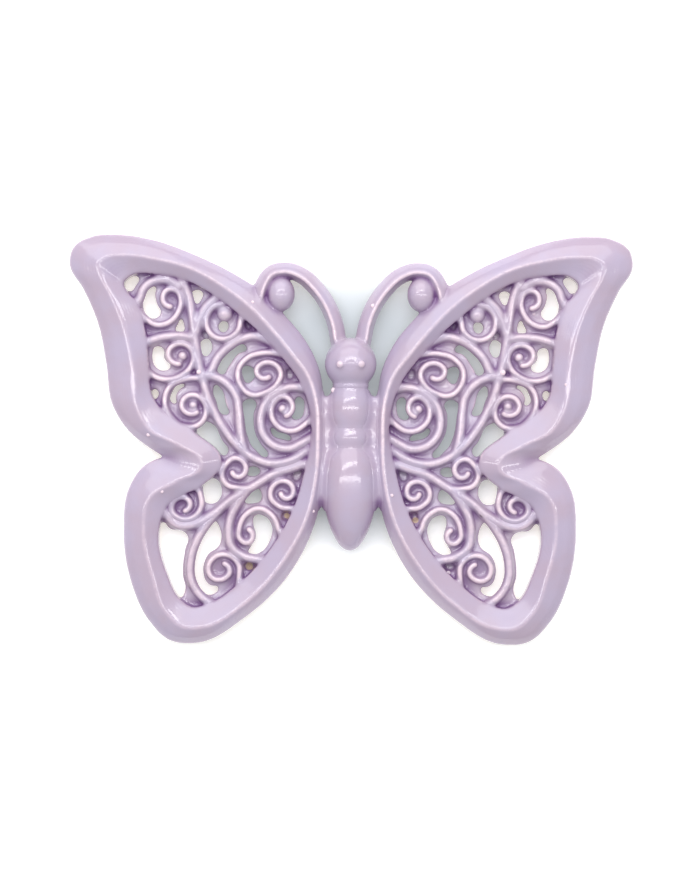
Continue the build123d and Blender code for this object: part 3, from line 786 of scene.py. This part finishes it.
def rubber_material(context):
    """Pale stick-on rubber with a faint dusting."""
    colours = context.scene.glaze_colours

    def make(name):
        recipe = Recipe(name)
        dust = recipe.clouds(2 * MM, detail=4.0)
        worn = tuple(0.8 * c for c in colours.rubber)
        recipe.surface(
            Base_Color=recipe.mixed(recipe.step(dust, 0.35, 0.65), worn, colours.rubber),
            Roughness=0.7 + 0.2 * dust,
            Normal=recipe.bumped(recipe.clouds(0.4 * MM), 0.04 * MM),
        )
        return recipe.material

    return kept("pad_rubber", make)


def floor_material(context):
    """A plain pale surface, nearly white and glowing faintly, with painted shade in a patch
    beside the ornament's body.
    """
    colours = context.scene.glaze_colours

    def make(name):
        recipe = Recipe(name)
        aside = recipe.along("X") * (1 / PATCH_RADII[0])
        ahead = (recipe.along("Y") - PATCH_AHEAD) * (1 / PATCH_RADII[1])
        away = aside * aside + ahead * ahead
        # Painted shade: the floor darkens towards the shade colour in an ellipse round the
        # body
        shade = 1 - recipe.step(away, *PATCH_FADE)
        colour = recipe.mixed(shade, colours.floor, colours.shade)
        recipe.surface(
            Base_Color=colour, Roughness=0.7, Emission_Color=colour,
            Emission_Strength=0.4,
        )
        return recipe.material

    return kept("pale_floor", make)


# The operators, one for each group of pieces


class GlazeStep(bpy.types.Operator):
    """One group of clay pieces under their glaze."""

    bl_idname = "butterfly.glaze_step"
    bl_label = "Glaze pieces"
    names = ()

    def execute(self, context):
        for name in self.names:
            glazed_piece(context, name)
        return {"FINISHED"}


class GlazeRims(GlazeStep):
    """The raised rims of both wings."""

    bl_idname = "butterfly.glaze_rims"
    bl_label = "Wing rims"
    names = both(RIMS)


class GlazePanels(GlazeStep):
    """The pierced panels inside the rims, and the clay behind the body."""

    bl_idname = "butterfly.glaze_panels"
    bl_label = "Wing panels"
    names = both(PANELS)


class GlazeForewingScrolls(GlazeStep):
    """The coils on the forewings."""

    bl_idname = "butterfly.glaze_forewing_scrolls"
    bl_label = "Forewing scrolls"
    names = both(FOREWING_SCROLLS)


class GlazeHindwingScrolls(GlazeStep):
    """The coils on the hindwings."""

    bl_idname = "butterfly.glaze_hindwing_scrolls"
    bl_label = "Hindwing scrolls"
    names = both(HINDWING_SCROLLS)


class GlazeBody(GlazeStep):
    """The row of lumps from the tail to the head, and the eyes."""

    bl_idname = "butterfly.glaze_body"
    bl_label = "Body"
    names = list(LUMPS) + both(EYES)


class GlazeFeelers(GlazeStep):
    """The antennae and the balls at their ends."""

    bl_idname = "butterfly.glaze_feelers"
    bl_label = "Antennae"
    names = both(FEELERS)


class GlazeBeads(bpy.types.Operator):
    """The small beads that the glaze left where it dripped."""

    bl_idname = "butterfly.glaze_beads"
    bl_label = "Glaze beads"

    def execute(self, context):
        sizes = context.scene.glaze_sizes
        block = Studio.clay_block(context)
        layout = Layout("beads", (
            ("Flatness", "NodeSocketFloat", sizes.bead_flatness),
            ("Unevenness", "NodeSocketFloat", BEAD_UNEVENNESS),
            ("Seed", "NodeSocketInt", BEAD_SEED),
        ))
        ball = layout.node("GeometryNodeMeshIcoSphere", Radius=1.0, Subdivisions=4)
        flattened = layout.node(
            "ShaderNodeCombineXYZ", X=1.0, Y=1.0, Z=layout.given.out("Flatness"),
        )
        shape = layout.node(
            "GeometryNodeTransform", Geometry=ball.out("Mesh"),
            Scale=flattened.out("Vector"),
        )
        uneven = layout.given.out("Unevenness")
        chance = layout.node(
            "FunctionNodeRandomValue", {"data_type": "FLOAT"},
            Seed=layout.given.out("Seed"),
        )
        chance = Link(layout, chance.node.outputs[1])
        size = layout.node(
            "GeometryNodeInputNamedAttribute", {"data_type": "FLOAT"}, Name="size",
        ).out("Attribute")
        size = size * (1 + uneven * chance)
        layout.copies(shape.out("Geometry"), size, glaze_material(context))
        places = [(x * MM, y * MM, block.top(x * MM, y * MM)) for x, y, _ in BEADS]
        beads = layout.made_on(
            context, "glaze_beads", places, [size * MM for _, _, size in BEADS],
            {"Flatness": sizes.bead_flatness, "Seed": BEAD_SEED},
        )
        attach(beads, BODY)
        return {"FINISHED"}


class RubberPads(bpy.types.Operator):
    """The stick-on pads under the rims, a little domed where they touch the table."""

    bl_idname = "butterfly.rubber_pads"
    bl_label = "Rubber pads"

    def execute(self, context):
        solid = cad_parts["pads"].data
        points = np.array([vertex.co[:] for vertex in solid.vertices])
        middles = []
        for side in (points[:, 0] > 0, points[:, 0] < 0):
            for end in (points[:, 1] > 0, points[:, 1] < 0):
                pad = points[side & end]
                middles.append((pad.min(axis=0) + pad.max(axis=0)) / 2)
        across, _, depth = pad.max(axis=0) - pad.min(axis=0)
        layout = Layout("pads", (
            ("Radius", "NodeSocketFloat", across / 2), ("Depth", "NodeSocketFloat", depth),
            ("Lift", "NodeSocketFloat", depth / 3),
        ))
        disc = layout.node(
            "GeometryNodeMeshCylinder", Vertices=64, Side_Segments=6, Fill_Segments=12,
            Radius=layout.given.out("Radius"), Depth=layout.given.out("Depth"),
        )
        place = layout.node("GeometryNodeInputPosition").out("Position")
        parts = layout.node("ShaderNodeSeparateXYZ", Vector=place)
        x, y, z = (parts.out(axis) for axis in "XYZ")
        outward = layout.sum("POWER", x * x + y * y, 0.5)
        outward = layout.sum("DIVIDE", outward, layout.given.out("Radius"))
        low = 0.5 - layout.sum("DIVIDE", z, layout.given.out("Depth"))
        rise = layout.sum("POWER", outward, 8.0) * low * layout.given.out("Lift")
        offset = layout.node("ShaderNodeCombineXYZ", Z=rise)
        shape = layout.node(
            "GeometryNodeSetPosition", Geometry=disc.out("Mesh"),
            Offset=offset.out("Vector"),
        )
        layout.copies(shape.out("Geometry"), (1.0, 1.0, 1.0), rubber_material(context))
        pads = layout.made_on(
            context, "domed_pads", [tuple(m) for m in middles], [1.0] * len(middles),
            {"Radius": across / 2, "Depth": depth, "Lift": depth / 3},
        )
        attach(pads, BODY)
        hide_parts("pads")
        return {"FINISHED"}


class BuildStudio(bpy.types.Operator):
    """The floor, the lamps, the even light and the camera."""

    bl_idname = "butterfly.build_studio"
    bl_label = "Studio"

    def execute(self, context):
        studio = context.scene.studio_sizes
        low, high = (Vector(corner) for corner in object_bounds())
        self.floor(context, low)
        self.light(context, studio)
        self.camera(context, studio, low, high)
        context.scene.view_settings.view_transform = "Standard"
        return {"FINISHED"}

    def floor(self, context, low):
        """A wide pale floor just under the ornament."""
        turns = ((-1, -1), (1, -1), (1, 1), (-1, 1))
        corners = [(x * FLOOR_HALF, y * FLOOR_HALF, low.z - FLOOR_GAP) for x, y in turns]
        floor = object_of("floor", corners, [(0, 1, 2, 3)])
        floor.data.materials.append(floor_material(context))
        floor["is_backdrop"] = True

    def lamp(self, context, name, place, size, power, colour):
        """A rectangular lamp that faces the ornament's middle."""
        light = bpy.data.lights.new(name, "AREA")
        light.shape = "RECTANGLE"
        light.size, light.size_y = size
        light.energy = power
        light.color = colour
        lamp = bpy.data.objects.new(name, light)
        lamp.location = place
        lamp.rotation_euler = (-lamp.location).to_track_quat("-Z", "Y").to_euler()
        context.scene.collection.objects.link(lamp)

    def light(self, context, studio):
        """The lamps and the even light from all round."""
        for name, place, size, colour in LAMPS:
            power = getattr(studio, name + "_power")
            self.lamp(context, name, place, size, power, colour)
        world = bpy.data.worlds.new("sky")
        world.use_nodes = True
        sky = world.node_tree.nodes["Background"]
        sky.inputs["Color"].default_value = SKY_COLOUR
        sky.inputs["Strength"].default_value = studio.sky
        context.scene.world = world

    def camera(self, context, studio, low, high):
        """The camera straight above, with the ornament where the photograph has it."""
        span = high.x - low.x
        pixel = span / SPAN_PIXELS
        level = 0.5 * (low.z + high.z)
        aim = Vector((
            (PHOTO_WIDTH / 2 - MIRROR_COLUMN) * pixel,
            WAIST_FROM_CENTRE + (WAIST_ROW - PHOTO_HEIGHT / 2) * pixel,
            level,
        ))
        lens = bpy.data.cameras.new("camera")
        lens.sensor_fit = "HORIZONTAL"
        view_width = PHOTO_WIDTH * pixel
        lens.lens = lens.sensor_width * studio.camera_height / view_width
        lens.clip_start = 0.01
        camera = bpy.data.objects.new("camera", lens)
        camera.location = aim + Vector((0, 0, studio.camera_height))
        camera.rotation_euler = (0, 0, PHOTO_TILT)
        context.scene.collection.objects.link(camera)
        context.scene.camera = camera


class ButterflyPanel(bpy.types.Panel):
    """The sizes, the colours and a button for each step."""

    bl_idname = "VIEW3D_PT_butterfly"
    bl_label = "Glazed butterfly"
    bl_space_type = "VIEW_3D"
    bl_region_type = "UI"
    bl_category = "Butterfly"

    def draw(self, context):
        for group in ("glaze_sizes", "glaze_colours", "studio_sizes"):
            settings = getattr(context.scene, group)
            box = self.layout.box()
            for key in settings.bl_rna.properties.keys():
                if key not in ("rna_type", "name"):
                    box.prop(settings, key)
        for step in STEPS:
            self.layout.operator(step.bl_idname)


STEPS = (
    GlazeRims, GlazePanels, GlazeForewingScrolls, GlazeHindwingScrolls, GlazeBody,
    GlazeFeelers, GlazeBeads, RubberPads, BuildStudio,
)
CLASSES = (GlazeSizes, GlazeColours, StudioSizes, *STEPS, ButterflyPanel)


def register():
    for made in CLASSES:
        bpy.utils.register_class(made)
    bpy.types.Scene.glaze_sizes = PointerProperty(type=GlazeSizes)
    bpy.types.Scene.glaze_colours = PointerProperty(type=GlazeColours)
    bpy.types.Scene.studio_sizes = PointerProperty(type=StudioSizes)


def unregister():
    del bpy.types.Scene.studio_sizes
    del bpy.types.Scene.glaze_colours
    del bpy.types.Scene.glaze_sizes
    for made in reversed(CLASSES):
        bpy.utils.unregister_class(made)


def main():
    """Takes every step in order."""
    register()
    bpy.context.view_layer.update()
    for step in STEPS:
        group, name = step.bl_idname.split(".")
        getattr(getattr(bpy.ops, group), name)()


if __name__ == "__main__":
    main()
